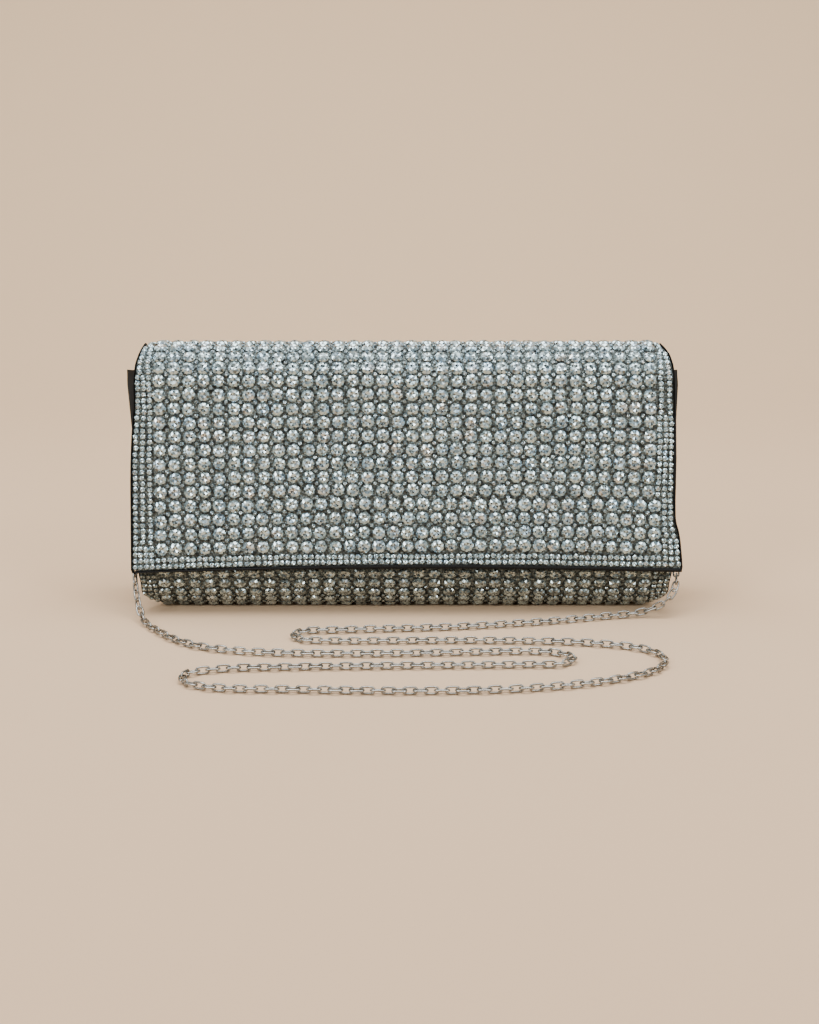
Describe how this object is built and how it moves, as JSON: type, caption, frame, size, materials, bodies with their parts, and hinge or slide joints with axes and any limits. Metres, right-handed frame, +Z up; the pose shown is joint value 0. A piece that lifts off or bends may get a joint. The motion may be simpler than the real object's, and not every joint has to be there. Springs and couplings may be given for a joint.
{
  "type": "clutch purse",
  "caption": "Evening clutch covered in crystal-set mesh, with a fold-over flap, magnetic snap, folded end gussets and a loose cable chain.",
  "frame": {"origin": "middle of the purse's base, on the surface that it stands on, without the chain", "axes": "+Z up, front towards -Y, the purse's length along X"},
  "size_m": [0.251, 0.1508, 0.123],
  "materials": {
    "crystal_mesh": "clear foil-backed stones in dark metal mesh",
    "stiffener": "grey fibre board",
    "lining_satin": "black satin",
    "gusset_satin": "black satin",
    "black_edging": "black ribbed edging",
    "nickel_hardware": "polished nickel plate",
    "chain_metal": "polished silver-coloured wire"
  },
  "bodies": {
    "root": {"back_cover": "crystal_mesh", "back_board": "stiffener", "back_lining": "lining_satin", "base_cover": "crystal_mesh", "base_board": "stiffener", "base_lining": "lining_satin", "slip_pocket": "lining_satin", "gusset_left": "gusset_satin", "gusset_right": "gusset_satin", "ring_tab_left": "gusset_satin", "ring_tab_right": "gusset_satin", "d_ring_left": "nickel_hardware", "d_ring_right": "nickel_hardware", "clasp_left": "nickel_hardware", "clasp_right": "nickel_hardware", "clasp_pin_left": "nickel_hardware", "clasp_pin_right": "nickel_hardware", "link_ring_left": "nickel_hardware", "link_ring_right": "nickel_hardware", "shoulder_chain": "chain_metal"},
    "front_panel": {"front_cover": "crystal_mesh", "front_board": "stiffener", "front_lining": "lining_satin", "mouth_binding": "black_edging", "snap_socket": "nickel_hardware", "socket_washer": "nickel_hardware"},
    "flap": {"flap_cover": "crystal_mesh", "flap_board": "stiffener", "flap_lining": "lining_satin", "flap_binding": "black_edging", "snap_stud": "nickel_hardware", "stud_washer": "nickel_hardware"},
    "left_trigger": {"clasp_trigger_left": "nickel_hardware"},
    "right_trigger": {"clasp_trigger_right": "nickel_hardware"}
  },
  "joints": [
    {"name": "flap_hinge", "type": "hinge", "parent": "root", "child": "flap", "pos_m": [0, 0.02175, 0.10591], "axis": [-1, 0, 0], "range_deg": [0, 150]},
    {"name": "mouth_hinge", "type": "hinge", "parent": "root", "child": "front_panel", "pos_m": [0, -0.02049, 0.02362], "axis": [1, 0, 0], "range_deg": [0, 12], "deforming": ["gusset_left", "gusset_right"]},
    {"name": "left_trigger_hinge", "type": "hinge", "parent": "root", "child": "left_trigger", "pos_m": [-0.1165, 0.0072, 0.074], "axis": [1, 0, 0], "range_deg": [0, 28], "stiffness_Nm_per_rad": 0.002},
    {"name": "right_trigger_hinge", "type": "hinge", "parent": "root", "child": "right_trigger", "pos_m": [0.1165, 0.0072, 0.074], "axis": [1, 0, 0], "range_deg": [0, 28], "stiffness_Nm_per_rad": 0.002}
  ],
  "couplings": [
    {"joint": "mouth_hinge", "follows": "flap_hinge", "ratio": 0.08}
  ]
}
